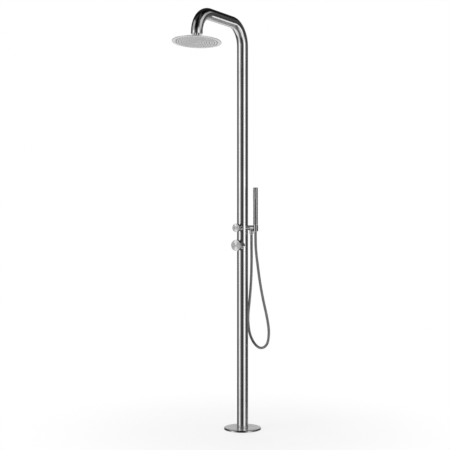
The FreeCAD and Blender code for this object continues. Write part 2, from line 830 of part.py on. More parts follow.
def make_spray():
    """The spray plate in the grip's window, and the nozzle mat behind it."""
    columns, rows = int(value("spray_columns")), int(value("spray_rows"))
    across, up = value("spray_column_pitch"), value("spray_row_pitch")
    middle = value(GRIP_TOP + " - spray_from_top - spray_height / 2")
    back = value("spray_front - spray_thick")
    places = [
        Vector((i - (columns - 1) / 2) * across, 0, middle + (j - (rows - 1) / 2) * up)
        for i in range(columns) for j in range(rows)
    ]
    forward = Vector(0, -1, 0)

    def slab(width, height, low, high):
        corner = Vector(-width / 2, -high, middle - height / 2)
        return Part.makeBox(width, high - low, height, corner)

    radius = value("spray_nozzle_d") / 2
    hole = radius + value("running_gap")
    width, height = value("spray_width"), value("spray_height")
    front = value("spray_front")
    plate = slab(width, height, back, front)
    plate = plate.cut(Part.makeCompound([
        Part.makeCylinder(hole, front, at, forward) for at in places]))
    edge = value("handset_wall")
    mat_low = back - value("spray_mat")
    mat = slab(width - 2 * edge, height - 2 * edge, mat_low, back)
    reach = front + value("spray_nozzle_proud") - mat_low
    mat = mat.fuse([
        Part.makeCylinder(radius, reach, at + forward * mat_low, forward) for at in places])
    for label, shape in (("handset_spray_plate", plate), ("handset_nozzles", mat)):
        feature = doc.addObject("Part::Feature", label)
        feature.Shape = shape
        set_handset(feature, label)


# ---------------------------------------------------------------- hose

def make_hose():
    """The hose's route as straight runs joined by tangent arcs, and the tube swept along it."""
    points = [Vector(*point) for point in HOSE_ROUTE]
    edges, length, last, radii = [], 0.0, points[0], []
    for before, at, after in zip(points, points[1:], points[2:]):
        back, ahead = (before - at), (after - at)
        trim = 0.45 * min(back.Length, ahead.Length)
        turn = math.pi - back.getAngle(ahead)
        radius = trim / math.tan(turn / 2)
        start = at + back.normalize() * trim
        end = at + ahead.normalize() * trim
        inward = (back + ahead).normalize()
        middle = at + inward * (radius / math.cos(turn / 2) - radius)
        edges += [Part.LineSegment(last, start), Part.Arc(start, middle, end)]
        length += (start - last).Length + radius * turn
        radii.append(round(radius))
        last = end
    edges.append(Part.LineSegment(last, points[-1]))
    length += (points[-1] - last).Length
    path = Part.Wire([edge.toShape() for edge in edges])
    first_way = (points[1] - points[0]).normalize()
    tubes = []
    for diameter in (value("hose_d"), value("hose_bore")):
        circle = Part.Wire(Part.makeCircle(diameter / 2, points[0], first_way))
        tubes.append(path.makePipeShell([circle], True, False))
    hose = tubes[0].cut(tubes[1])
    section = math.pi / 4 * (value("hose_d") ** 2 - value("hose_bore") ** 2)
    print("hose radii", radii, "length", round(length, 1), "volume over section x length",
          round(hose.Volume / (section * length), 5))
    feature = doc.addObject("Part::Feature", "hose")
    feature.Shape = hose
    keep(feature, "hose")


# ---------------------------------------------------------------- rain head
# Everything that swings is modelled from the ball's centre, and tilted about it.

BALL_AT = ("0", "0 - arm_reach", "arm_height - arm_drop - ball_below_arm")
HEAD_HINGE = Vector(-1, 0, 0)


def set_head(thing, label):
    keep(place(thing, BALL_AT, HEAD_HINGE, "head_tilt"), label)


def make_arm_end():
    """The plug welded into the arm's end, the ball connector screwed to it, and its filter."""
    plug_edge = "post_d / 2 - post_wall - weld_gap"
    barb = "riser_d / 2 - riser_wall - push_gap"
    bore = "ball_bore / 2"
    nipple = "nipple_d / 2"
    plug = turned_body("arm_end_plug", [
        (bore, "0 - arm_nipple_length"), (nipple, "0 - arm_nipple_length"), (nipple, "0"),
        (plug_edge, "0"), (plug_edge, "arm_plug_thick"), (barb, "arm_plug_thick"),
        (barb, "arm_plug_thick + barb_length"), (bore, "arm_plug_thick + barb_length"),
    ])
    place(plug, ("0", "0 - arm_reach", "arm_height - arm_drop"))
    keep(plug, "arm_end_plug")
    nut_low = "ball_below_arm - ball_nut_length"
    thread_floor = "ball_below_arm - arm_nipple_length - filter_thick"
    ball = sphere("connector_ball", "ball_d")
    neck = turned_body("connector_nut", [
        ("0", "0"), ("ball_neck_d / 2", "0"), ("ball_neck_d / 2", nut_low),
        ("ball_nut_d / 2", nut_low), ("ball_nut_d / 2", "ball_below_arm"),
        (nipple + " + running_gap", "ball_below_arm"), (nipple + " + running_gap", thread_floor),
        ("0", thread_floor),
    ])
    joined = doc.addObject("Part::MultiFuse", "connector_blank")
    joined.Shapes = [ball, neck]
    way = doc.addObject("Part::Cylinder", "connector_bore")
    way.setExpression("Radius", bound(bore))
    way.setExpression("Height", bound("ball_d + ball_below_arm"))
    way.setExpression("Placement.Base.z", bound("0 - ball_d"))
    connector = cut_by("connector", joined, way)
    keep(place(connector, BALL_AT), "ball_connector")
    filter_top = "ball_below_arm - arm_nipple_length"
    disc = ring(
        "filter", "filter_bore", "nipple_d", filter_top + " - filter_thick", filter_top)
    keep(place(disc, BALL_AT), "head_filter")


def make_ball_seat():
    """The seat ring between the ball and the head, a slice of a hollow sphere."""
    slice_ = ring(
        "seat_slice", "seat_hole", "seat_ball_d", "0 - seat_bottom", "0 - seat_top")
    outer = sphere("seat_outside", "seat_ball_d")
    rounded = doc.addObject("Part::MultiCommon", "seat_blank")
    rounded.Shapes = [slice_, outer]
    inner = sphere("seat_inside", "( ball_d + 2 * loose_gap )")
    set_head(cut_by("seat", rounded, inner), "ball_seat_ring")


def make_collar():
    edge = "collar_d / 2"
    thread = "hub_d / 2 + push_gap"
    blank = turned_body("collar_blank", [
        (thread, "0 - collar_skirt"), (edge, "0 - collar_skirt"), (edge, "collar_top - nut_chamfer"),
        (edge + " - nut_chamfer", "collar_top"), ("collar_mouth_d / 2", "collar_top"),
        ("collar_throat_d / 2", "collar_throat"), ("collar_throat_d / 2", "0 - hub_top"),
        (thread, "0 - hub_top"),
    ])
    room = sphere("collar_room", "( ball_d + 2 * loose_gap )")
    set_head(cut_by("collar", blank, room), "head_collar")


def make_head_shell():
    """The upper shell with the hub that holds the seat ring."""
    edge = "head_d / 2"
    shoulder = edge + " - head_edge_in"
    high = "0 - head_top"
    low = high + " - head_fall"
    set_head(turned_body("head_top_shell", [
        ("hub_bore / 2", "0 - hub_top"), ("hub_d / 2", "0 - hub_top"), ("hub_d / 2", high),
        (shoulder, low), (edge, low + " - head_edge_fall"), (edge, "0 - head_bottom"),
        (edge + " - head_sheet", "0 - head_bottom"),
        (edge + " - head_sheet", low + " - head_edge_fall - head_sheet"),
        (shoulder, low + " - head_sheet"), ("hub_d / 2", high + " - head_sheet"),
        ("seat_hole / 2", high + " - head_sheet"), ("seat_hole / 2", "0 - hub_floor"),
        ("hub_bore / 2", "0 - hub_floor"),
    ]), "head_top_shell")


def nozzle_places():
    """Rings of nozzle positions about the head's centre, evenly spaced out to the margin."""
    places = []
    rings = int(value("nozzle_rings"))
    pitch = value("head_d / 2 - nozzle_margin") / rings
    for ring_number in range(1, rings + 1):
        count = ring_number * int(value("nozzle_per_ring"))
        for i in range(count):
            angle = 2 * math.pi * (i + ring_number / 2) / count
            radius = ring_number * pitch
            places.append(Vector(radius * math.cos(angle), radius * math.sin(angle), 0))
    return places


def make_head_face():
    """The perforated face and the nozzle mat whose tapered nozzles pass through it."""
    bottom = -value("head_bottom")
    top = bottom + value("head_sheet")
    radius = value("head_d") / 2 - value("head_sheet") - value("push_gap")
    root, tip = value("nozzle_d") / 2, value("nozzle_tip_d") / 2
    proud = value("nozzle_proud")
    reach = proud + value("head_sheet")
    screw = value("centre_screw_d") / 2
    down = Vector(0, 0, -1)
    up = Vector(0, 0, 1)
    places = nozzle_places()
    face = Part.makeCylinder(radius, value("head_sheet"), Vector(0, 0, bottom), up)
    holes = [
        Part.makeCylinder(root + value("push_gap"), value("head_sheet"), at + up * bottom, up)
        for at in places]
    holes.append(Part.makeCylinder(screw / 2, value("head_sheet"), up * bottom, up))
    face = face.cut(Part.makeCompound(holes))
    mat_radius = radius + value("push_gap") + value("head_sheet") - value("mat_margin")
    mat = Part.makeCylinder(mat_radius, value("mat_thick"), up * top, up)
    mat = mat.fuse([Part.makeCone(root, tip, reach, at + up * top, down) for at in places])
    mat = mat.cut(Part.makeCylinder(screw / 2, value("mat_thick"), up * top, up))
    for label, shape in (("head_face_plate", face), ("head_nozzles", mat)):
        feature = doc.addObject("Part::Feature", label)
        feature.Shape = shape
        set_head(feature, label)
    head = "centre_screw_d / 2"
    shank = "centre_screw_d / 4 - running_gap"
    low = "0 - head_bottom"
    set_head(turned_body("centre_screw", [
        ("0", low + " - centre_screw_head"),
        (head + " - nut_chamfer", low + " - centre_screw_head"),
        (head, low), (shank, low), (shank, "0 - head_top - head_sheet"),
        ("0", "0 - head_top - head_sheet"),
    ]), "head_centre_screw")


# ---------------------------------------------------------------- build, check and export

make_floor_flange()
make_base_cover()
make_post()
make_supply("cold", "0 -")
make_supply("hot", "0 +")
make_pipe_spacers()
make_valves()
make_pipes()
make_bracket()
make_hose_outlet()
make_holder()
make_cone_nut()
make_handset()
make_spray()
make_hose()
make_arm_end()
make_ball_seat()
make_collar()
make_head_shell()
make_head_face()
doc.recompute()

for thing in doc.Objects:
    if "Invalid" in thing.State or "Error" in thing.State:
        raise RuntimeError("%s failed: %s" % (thing.Name, thing.State))
for node in nodes:
    if node.Shape.isNull() or not node.Shape.isValid() or not node.Shape.Solids:
        raise RuntimeError("%s has no valid solid" % node.Label)

os.makedirs("parts", exist_ok=True)
for node in nodes:
    node.Shape.exportStep("parts/%s.step" % node.Label)
print(len(nodes), "sub-parts written")
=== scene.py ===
import json
import math

import bmesh
import bpy
import numpy as np
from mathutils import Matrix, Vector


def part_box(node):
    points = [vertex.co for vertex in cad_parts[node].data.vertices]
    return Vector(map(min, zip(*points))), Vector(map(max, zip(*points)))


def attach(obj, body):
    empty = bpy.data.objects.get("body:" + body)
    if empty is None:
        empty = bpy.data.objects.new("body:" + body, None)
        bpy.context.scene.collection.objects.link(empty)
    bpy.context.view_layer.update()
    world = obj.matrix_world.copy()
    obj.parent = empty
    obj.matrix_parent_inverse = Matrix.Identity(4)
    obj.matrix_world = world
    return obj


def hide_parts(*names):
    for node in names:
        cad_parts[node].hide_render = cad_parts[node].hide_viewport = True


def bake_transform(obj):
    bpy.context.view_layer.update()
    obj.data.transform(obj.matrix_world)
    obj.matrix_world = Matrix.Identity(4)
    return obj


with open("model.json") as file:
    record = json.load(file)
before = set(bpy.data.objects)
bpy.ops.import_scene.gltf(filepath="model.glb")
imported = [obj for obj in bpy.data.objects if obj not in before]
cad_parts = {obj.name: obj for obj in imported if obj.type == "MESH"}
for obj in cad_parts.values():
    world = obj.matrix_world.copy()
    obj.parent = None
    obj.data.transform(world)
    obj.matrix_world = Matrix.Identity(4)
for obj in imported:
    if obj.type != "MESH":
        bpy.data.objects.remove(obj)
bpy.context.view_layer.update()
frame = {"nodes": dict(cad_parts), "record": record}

# An outdoor shower post in brushed stainless steel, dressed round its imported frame.
# Everything is in metres, in the frame's own axes: +Z up, the arm and knobs along -Y, the hand
# shower on the +X side. Most sizes are read off the frame's nodes, and the others are named.

bpy.context.scene.view_settings.view_transform = "Standard"
MM = 0.001
TURN = 2 * math.pi


def node_box(node):
    """A node's lowest and highest corner as arrays."""
    low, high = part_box(node)
    return np.array(low), np.array(high)


def node_radius(node, axis=0):
    """Half of a node's width along an axis."""
    low, high = node_box(node)
    return (high[axis] - low[axis]) / 2


def middle_height(node):
    """The height of a node's middle."""
    low, high = node_box(node)
    return (low[2] + high[2]) / 2


# ---------------------------------------------------------------- driving sizes

POST_LOW, POST_HIGH = node_box("post_tube")
POST_RADIUS = POST_HIGH[0]
POST_WALL = 2 * MM
ARM_HEIGHT = POST_HIGH[2] - POST_RADIUS
ARM_REACH = -POST_LOW[1] - POST_RADIUS
BEND_RADIUS = 114 * MM
ARM_DROP = 120 * MM
ARM_END = ARM_HEIGHT - ARM_DROP
POST_FOOT = POST_LOW[2]

MIXER_HEIGHT = middle_height("mixer_knob")
DIVERTER_HEIGHT = middle_height("diverter_knob")
VALVE_HEIGHTS = {"mixer": MIXER_HEIGHT, "diverter": DIVERTER_HEIGHT}

BALL_BELOW_ARM = 22 * MM
BALL = np.array([0, -ARM_REACH, ARM_END - BALL_BELOW_ARM])
HEAD_TILT = math.radians(4)

BRACKET_RADIUS = node_radius("bracket_arm", 2)
HOLDER_X = 81.5 * MM
HOLDER_RADIUS = 14 * MM
OUTLET_X = 56 * MM
NIPPLE_RADIUS = 8 * MM
SPINDLE_RADIUS = 5 * MM

# The clearances are the solids' own.
WELD_GAP = 0.05 * MM
RUNNING_GAP = 0.05 * MM
PUSHED_IN_GAP = 0.1 * MM
COVER_GAP = 0.4 * MM

# The hose's route, the same points as the solid's, in millimetres.
HOSE_ROUTE = [
    (56, 0, 1050.5), (56, 0, 1000), (54, 5, 920), (43, 19, 800), (23, 38, 700), (3, 53, 615),
    (0, 61, 556), (9, 61, 510), (29, 57, 474), (55, 50, 450), (85, 43, 438), (114, 37, 445),
    (136, 32, 466), (146, 29, 498), (149, 27, 545), (139, 22, 615), (120, 16, 700), (104, 10, 790),
    (92, 4, 890), (83.5, 1, 965), (81.5, 0, 1016), (81.5, 0, 1066),
]
HOSE_RADIUS = 7 * MM
HOSE_BORE = 4.5 * MM

# The camera stands where the photograph was taken from, fitted to the post's own outline.
CAMERA_TURN = math.radians(32.15)
CAMERA_DISTANCE = 5.147
CAMERA_HEIGHT = 1.105
POST_OFF_CENTRE = 95.1 * MM
CAMERA_FOCAL_PIXELS = 949.6
IMAGE_PIXELS = 450
SENSOR_MM = 36


# ---------------------------------------------------------------- camera

def add_camera():
    """A level camera. Its axis passes to the left of the post by the distance off centre."""
    toward = np.array([math.sin(CAMERA_TURN), -math.cos(CAMERA_TURN), 0])
    rightward = np.array([math.cos(CAMERA_TURN), math.sin(CAMERA_TURN), 0])
    data = bpy.data.cameras.new("camera")
    data.sensor_width = SENSOR_MM
    data.lens = CAMERA_FOCAL_PIXELS / IMAGE_PIXELS * SENSOR_MM
    camera = bpy.data.objects.new("camera", data)
    spot = toward * CAMERA_DISTANCE - rightward * POST_OFF_CENTRE
    camera.location = (spot[0], spot[1], CAMERA_HEIGHT)
    camera.rotation_euler = (math.pi / 2, 0, CAMERA_TURN)
    bpy.context.scene.collection.objects.link(camera)
    bpy.context.scene.camera = camera


# ---------------------------------------------------------------- surfaces

def full_turn(segments):
    """Evenly spaced angles round a full turn."""
    return np.arange(segments) * TURN / segments


def grid_faces(rows, columns, close_rows=False):
    """Quads of a grid of points, row by row. Each row is a closed ring, and with close_rows the
    last row joins the first."""
    row = np.arange(rows if close_rows else rows - 1)
    r, c = np.meshgrid(row, np.arange(columns), indexing="ij")
    r2, c2 = (r + 1) % rows, (c + 1) % columns
    corners = [r * columns + c, r * columns + c2, r2 * columns + c2, r2 * columns + c]
    return np.stack(corners, -1).reshape(-1, 4)


def mesh_piece(name, points, faces):
    """A mesh object from arrays, with doubled points merged and faces turned outwards."""
    mesh = bpy.data.meshes.new(name)
    mesh.from_pydata(np.asarray(points).reshape(-1, 3).tolist(), [], np.asarray(faces).tolist())
    work = bmesh.new()
    work.from_mesh(mesh)
    bmesh.ops.remove_doubles(work, verts=work.verts, dist=1e-6)
    bmesh.ops.dissolve_degenerate(work, edges=work.edges, dist=1e-7)
    bmesh.ops.recalc_face_normals(work, faces=work.faces)
    work.to_mesh(mesh)
    work.free()
    mesh.shade_smooth()
    mesh.set_sharp_from_angle(angle=math.radians(40))
    piece = bpy.data.objects.new(name, mesh)
    bpy.context.scene.collection.objects.link(piece)
    return piece


def rounded(corners, steps=5):
    """A closed outline from (a, b, radius) corners: each corner becomes an arc of that radius.

    The arc is centred on the corner's bisector, at radius / sin(half the corner's angle) from
    it, and swept between the two points where it touches the sides.
    """
    outline = []
    count = len(corners)
    for i, (a, b, radius) in enumerate(corners):
        here = np.array([a, b])
        before = np.array(corners[i - 1][:2]) - here
        after = np.array(corners[(i + 1) % count][:2]) - here
        before, after = before / np.linalg.norm(before), after / np.linalg.norm(after)
        half = math.acos(np.clip(before @ after, -1, 1)) / 2
        if radius <= 0 or half > math.radians(89):
            outline.append(here)
            continue
        bisector = (before + after) / np.linalg.norm(before + after)
        centre = here + bisector * radius / math.sin(half)
        start = here + before * radius / math.tan(half) - centre
        end = here + after * radius / math.tan(half) - centre
        swing = math.atan2(start[0] * end[1] - start[1] * end[0], start @ end)
        t = np.linspace(0, swing, steps + 1)[:, None]
        side = np.array([-start[1], start[0]])
        outline += list(centre + start * np.cos(t) + side * np.sin(t))
    return np.array(outline)


def lay_along(points, origin, axis, across):
    """Points given as (across, aside, along) carried to the frame from their own axes."""
    axis, across = np.array(axis, float), np.array(across, float)
    aside = np.cross(axis, across)
    return np.array(origin) + points @ np.stack([across, aside, axis])


def turned(name, corners, origin, axis=(0, 0, 1), across=(1, 0, 0), segments=96, steps=5):
    """A solid of revolution: the point at (radius r, height h) goes round the axis as
    (r cos t, r sin t, h), for t from 0 to a full turn. Its outline is closed and rounded."""
    outline = rounded(corners, steps)
    t = full_turn(segments)
    radius, height = outline[:, :1], outline[:, 1:]
    points = np.stack([radius * np.cos(t), radius * np.sin(t), height + 0 * t], -1)
    faces = grid_faces(len(outline), segments, close_rows=True)
    return mesh_piece(name, lay_along(points.reshape(-1, 3), origin, axis, across), faces)


def carried(path, normals, binormals, outline):
    """An outline carried along a path: each path point plus a times its normal plus b times its
    binormal, for every (a, b) of the outline."""
    return (
        path[:, None] + normals[:, None] * outline[None, :, :1]
        + binormals[:, None] * outline[None, :, 1:])


def circle(radius, segments):
    """Points (radius cos t, radius sin t) round a full turn."""
    t = full_turn(segments)
    return np.stack([radius * np.cos(t), radius * np.sin(t)], -1)


def arm_path():
    """The post's centre line: up, a quarter turn to -Y, along the arm, a quarter turn down.

    A quarter turn about a centre c is c + R (cos t, sin t). Each point's normal lies in the YZ
    plane at right angles to the path, and the binormal is X.
    """
    points_per_bend = 33
    bend = np.linspace(0, math.pi / 2, points_per_bend)[:, None]
    low = ARM_HEIGHT - BEND_RADIUS
    up = np.array([[0, POST_FOOT], [0, low]])
    first = np.array([-BEND_RADIUS, low]) + BEND_RADIUS * np.hstack([np.cos(bend), np.sin(bend)])
    second = np.array([BEND_RADIUS - ARM_REACH, low]) + BEND_RADIUS * np.hstack(
        [-np.sin(bend), np.cos(bend)])
    line = np.vstack([up, first[1:], second, [[-ARM_REACH, ARM_END]]])
    directions = np.vstack([
        [[0, 1], [0, 1]],
        np.hstack([-np.sin(bend), np.cos(bend)])[1:],
        np.hstack([-np.cos(bend), -np.sin(bend)]),
        [[0, -1]],
    ])
    path = np.column_stack([np.zeros(len(line)), line])
    normals = np.column_stack([np.zeros(len(line)), -directions[:, 1], directions[:, 0]])
    binormals = np.tile([1.0, 0, 0], (len(line), 1))
    return path, normals, binormals


# ---------------------------------------------------------------- materials

class Paint:
    """A small helper that lays down one material's nodes."""

    def __init__(self, name):
        self.material = bpy.data.materials.new(name)
        self.material.use_nodes = True
        self.tree = self.material.node_tree
        self.shader = self.tree.nodes["Principled BSDF"]
        self.coordinates = self.add("ShaderNodeTexCoord").outputs["Object"]

    @classmethod
    def over(cls, world):
        """The same helper, over a world's nodes."""
        paint = cls.__new__(cls)
        world.use_nodes = True
        paint.tree = world.node_tree
        return paint

    def add(self, kind, **settings):
        """A new node with some of its settings given."""
        node = self.tree.nodes.new(kind)
        for key, setting in settings.items():
            setattr(node, key, setting)
        return node

    def link(self, source, target):
        """A line from an output to an input."""
        self.tree.links.new(source, target)

    def put(self, **values):
        """Plain numbers on the shader's inputs, with _ for each space in an input's name."""
        for key, number in values.items():
            self.shader.inputs[key.replace("_", " ")].default_value = number

    def stretched(self, scale):
        """Object coordinates times a scale along each axis."""
        node = self.add("ShaderNodeMapping")
        node.inputs["Scale"].default_value = scale
        self.link(self.coordinates, node.inputs["Vector"])
        return node.outputs["Vector"]

    def noise(self, vector, scale, detail=3.0):
        """Smooth noise over a vector, with about the scale's number of patches to one unit."""
        node = self.add("ShaderNodeTexNoise")
        node.inputs["Scale"].default_value = scale
        node.inputs["Detail"].default_value = detail
        self.link(vector, node.inputs["Vector"])
        return node.outputs["Fac"]

    def between(self, factor, low, high, low_at=0.3, high_at=0.7):
        """A number that runs from low to high as the factor runs between two places."""
        node = self.add("ShaderNodeMapRange")
        for socket, number in zip(("From Min", "From Max", "To Min", "To Max"),
                                  (low_at, high_at, low, high)):
            node.inputs[socket].default_value = number
        self.link(factor, node.inputs["Value"])
        return node.outputs["Result"]

    def eased(self, factor, low, high, low_at, high_at):
        """As between, with a smooth start and end."""
        output = self.between(factor, low, high, low_at, high_at)
        output.node.interpolation_type = "SMOOTHSTEP"
        return output

    def pair(self, operation, first, second):
        """Two numbers put together by one operation."""
        node = self.add("ShaderNodeMath", operation=operation)
        self.link(first, node.inputs[0])
        self.link(second, node.inputs[1])
        return node.outputs[0]

    def times(self, first, second):
        """One number times another."""
        return self.pair("MULTIPLY", first, second)

    def wave(self, length, pitch):
        """The sine of a length, with one wave to each pitch."""
        count = self.add("ShaderNodeMath", operation="MULTIPLY")
        count.inputs[1].default_value = TURN / pitch
        self.link(length, count.inputs[0])
        sine = self.add("ShaderNodeMath", operation="SINE")
        self.link(count.outputs[0], sine.inputs[0])
        return sine.outputs[0]

    def blend(self, factor, dark, light):
        """A colour between two, by the factor."""
        node = self.add("ShaderNodeMix", data_type="RGBA")
        node.inputs["A"].default_value = (*dark, 1)
        node.inputs["B"].default_value = (*light, 1)
        self.link(factor, node.inputs["Factor"])
        return node.outputs["Result"]

    def bump(self, height, strength, distance):
        """Light caught as if the surface rose by the height."""
        node = self.add("ShaderNodeBump")
        node.inputs["Strength"].default_value = strength
        node.inputs["Distance"].default_value = distance
        self.link(height, node.inputs["Height"])
        self.link(node.outputs["Normal"], self.shader.inputs["Normal"])

    def colour(self, output):
        """The shader's colour comes from this output."""
        self.link(output, self.shader.inputs["Base Color"])

    def roughness(self, output):
        """The shader's roughness comes from this output."""
        self.link(output, self.shader.inputs["Roughness"])

    def surface(self, output):
        """What the whole surface shows comes from this output."""
        self.link(output, self.tree.nodes["Material Output"].inputs["Surface"])


def brushed_steel(name, grain, low=0.12, high=0.19, shade=0.68, metal=1.0):
    """Satin stainless steel: fine scratches drawn out along one direction, and a faint cloud of
    uneven polish. The grain is a scale along X, Y and Z, small along the scratches."""
    paint = Paint(name)
    scratches = paint.noise(paint.stretched(grain), 1.0, 5.0)
    cloud = paint.noise(paint.coordinates, 9.0, 2.0)
    paint.put(Metallic=metal)
    dark, light = [shade * 0.93] * 3, [shade * 1.04] * 3
    paint.colour(paint.blend(paint.between(cloud, 0, 1), dark, light))
    paint.roughness(paint.between(scratches, low, high))
    paint.bump(scratches, 0.03, 0.1 * MM)
    return paint.material


def turned_steel(name, origin, axis, shade=0.66, pitch=0.35 * MM, low=0.24, high=0.36, pull=0.75,
                 metal=1.0, rim=None):
    """Lathe-turned stainless steel: fine rings about an axis, with the streaked, bow-tie shine
    that such rings give, because the surface is smooth along each ring and rough across. Past a
    rim (its radius and shade) the steel takes the rim's darker shade, which is painted shade on
    the edge, and is fully metallic.

    The shine is drawn out from the axis. A little of the axis itself is added to that
    direction, so that it is never nothing in the middle.
    """
    rim_blend, axis_part = 0.2 * MM, 5 * MM
    paint = Paint(name)
    subtract = paint.add("ShaderNodeVectorMath", operation="SUBTRACT")
    subtract.inputs[1].default_value = origin
    paint.link(paint.coordinates, subtract.inputs[0])
    radial = paint.add("ShaderNodeVectorMath", operation="MULTIPLY")
    radial.inputs[1].default_value = [1 - abs(a) for a in axis]
    paint.link(subtract.outputs[0], radial.inputs[0])
    length = paint.add("ShaderNodeVectorMath", operation="LENGTH")
    paint.link(radial.outputs[0], length.inputs[0])
    tangent = paint.add("ShaderNodeVectorMath", operation="MULTIPLY_ADD")
    tangent.inputs[1].default_value = (1, 1, 1)
    tangent.inputs[2].default_value = [axis_part * a for a in axis]
    paint.link(radial.outputs[0], tangent.inputs[0])
    paint.link(tangent.outputs[0], paint.shader.inputs["Tangent"])
    paint.put(Metallic=metal, Anisotropic=pull)
    grain = paint.noise(paint.coordinates, 900.0, 2.0)
    colour = paint.blend(paint.between(grain, 0, 1), [shade * 0.94] * 3, [shade * 1.04] * 3)
    if rim:
        rim_radius, rim_painted_shade = rim
        # Past the rim's radius the colour turns to the rim's darker shade: painted shade on the edge.
        past = paint.between(length.outputs["Value"], 0, 1, rim_radius - rim_blend, rim_radius)
        face_colour, colour = colour, paint.blend(past, (0, 0, 0), [rim_painted_shade] * 3)
        paint.link(face_colour, colour.node.inputs["A"])
        paint.link(paint.between(past, metal, 1, 0, 1), paint.shader.inputs["Metallic"])
    paint.colour(colour)
    paint.roughness(paint.between(grain, low, high))
    paint.bump(paint.wave(length.outputs["Value"], pitch), 0.08, 0.03 * MM)
    return paint.material


def plain(name, dark, light, scale, low, high, bump=0.1, **values):
    """A material with a fine mottled colour and an uneven polish, both by noise."""
    paint = Paint(name)
    grain = paint.noise(paint.coordinates, scale, 4.0)
    paint.colour(paint.blend(paint.between(grain, 0, 1), dark, light))
    paint.roughness(paint.between(grain, low, high))
    paint.bump(grain, bump, 0.1 * MM)
    paint.put(**values)
    return paint.material


def hose_sleeve():
    """A smooth silver-grey sleeve over a fine wound core, whose turns show faintly as rings
    across the hose. They follow the piece's own length, kept in its UV map."""
    paint = Paint("hose_sleeve")
    along = paint.add("ShaderNodeUVMap", uv_map="along").outputs["UV"]
    split = paint.add("ShaderNodeSeparateXYZ")
    paint.link(along, split.inputs[0])
    core_pitch = 3.2 * MM
    cloud = paint.noise(paint.coordinates, 60.0, 3.0)
    paint.put(Metallic=0.55, Coat_Weight=0.35, Coat_Roughness=0.12)
    turns = paint.between(paint.wave(split.outputs["X"], core_pitch), 0, 1, -1, 1)
    paint.colour(paint.blend(turns, (0.19, 0.19, 0.195), (0.27, 0.27, 0.275)))
    paint.roughness(paint.between(cloud, 0.30, 0.42))
    paint.bump(turns, 0.25, 0.12 * MM)
    return paint.material


# ---------------------------------------------------------------- dressing helpers

def finish_piece(piece, body, material, slot, *nodes):
    """Put a piece's material on it, set it on its body and let it stand for its nodes."""
    piece.data.materials.clear()
    piece.data.materials.append(material)
    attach(piece, body)
    if nodes:
        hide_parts(*nodes)


def body_of_node(node):
    """The body that a node belongs to."""
    return next(b for b, names in frame["record"]["behaviour"]["bodies"].items() if node in names)


def slot_of_node(node):
    """The material slot that the record gives a node."""
    return next(s["material_slot"] for s in frame["record"]["subparts"] if s["node"] == node)


def smooth_copy(node, material):
    """A merged copy of a node's mesh with its hard edges eased, in place of the node."""
    hard_edge = math.radians(35)
    mesh = frame["nodes"][node].data.copy()
    mesh.name = node + "_dressed"
    work = bmesh.new()
    work.from_mesh(mesh)
    bmesh.ops.remove_doubles(work, verts=work.verts, dist=2e-6)
    work.to_mesh(mesh)
    work.free()
    mesh.shade_smooth()
    mesh.set_sharp_from_angle(angle=hard_edge)
    piece = bpy.data.objects.new(node + "_dressed", mesh)
    bpy.context.scene.collection.objects.link(piece)
    eased = piece.modifiers.new("eased_edges", "BEVEL")
    eased.width = 0.25 * MM
    eased.segments = 2
    eased.limit_method = "ANGLE"
    eased.angle_limit = hard_edge
    eased.harden_normals = True
    finish_piece(piece, body_of_node(node), material, slot_of_node(node), node)


def paint_node(node, material):
    """Give a carried-over node its material."""
    thing = frame["nodes"][node]
    thing.data.materials.clear()
    thing.data.materials.append(material)


# ---------------------------------------------------------------- post, base and sleeves

def make_post(steel):
    """The bent tube, open at both ends: a ring outline carried along the arm's path."""
    segments = 128
    path, normals, binormals = arm_path()
    outer = carried(path, normals, binormals, circle(POST_RADIUS, segments))
    inner = carried(path, normals, binormals, circle(POST_RADIUS - POST_WALL, segments))
    rows = np.concatenate([outer, inner[::-1]])
    piece = mesh_piece("post_skin", rows, grid_faces(len(rows), segments, close_rows=True))
    eased = piece.modifiers.new("eased_ends", "BEVEL")
    eased.width = 0.5 * MM
    eased.segments = 2
    eased.limit_method = "ANGLE"
    eased.angle_limit = math.radians(60)
    finish_piece(piece, "post", steel, "brushed_steel", "post_tube")


def make_base_cover(steel):
    """The round cover: a shallow cap with a rounded upper edge and a hole for the post."""
    low, high = node_box("base_cover")
    edge, hole, sheet = high[0], POST_RADIUS + COVER_GAP, 1.5 * MM
    corners = [
        (hole, high[2] - sheet, 0), (edge - sheet, high[2] - sheet, 2.5 * MM),
        (edge - sheet, low[2], 0), (edge, low[2], 0.3 * MM), (edge, high[2], 4 * MM),
        (hole, high[2], 0.5 * MM),
    ]
    piece = turned("base_cover_skin", corners, (0, 0, 0), segments=160)
    finish_piece(piece, "base_cover", steel, "brushed_steel", "base_cover")


def coped_tube(name, radius, bore, met_radius, reach, origin, axis, across):
    """A tube whose near end is cut to the round of the tube it meets, and whose far end is eased.

    At angle t its wall is at radius r, sideways r cos t: there the near end lies at
    sqrt(R^2 - (r cos t)^2) along the axis, R being the other tube's radius.
    """
    segments = 96
    t = full_turn(segments)
    ease = 0.6 * MM
    profile = [
        (radius, None), (radius, reach - ease), (radius - ease * 0.3, reach - ease * 0.3),
        (radius - ease, reach), (bore, reach), (bore, None),
    ]
    rings = []
    for r, along in profile:
        sideways = r * np.cos(t)
        near = np.sqrt(met_radius ** 2 - sideways ** 2)
        height = near if along is None else np.full_like(t, along)
        rings.append(np.stack([sideways, r * np.sin(t), height], -1))
    points = lay_along(np.array(rings).reshape(-1, 3), origin, axis, across)
    return mesh_piece(name, points, grid_faces(len(rings), segments, close_rows=True))


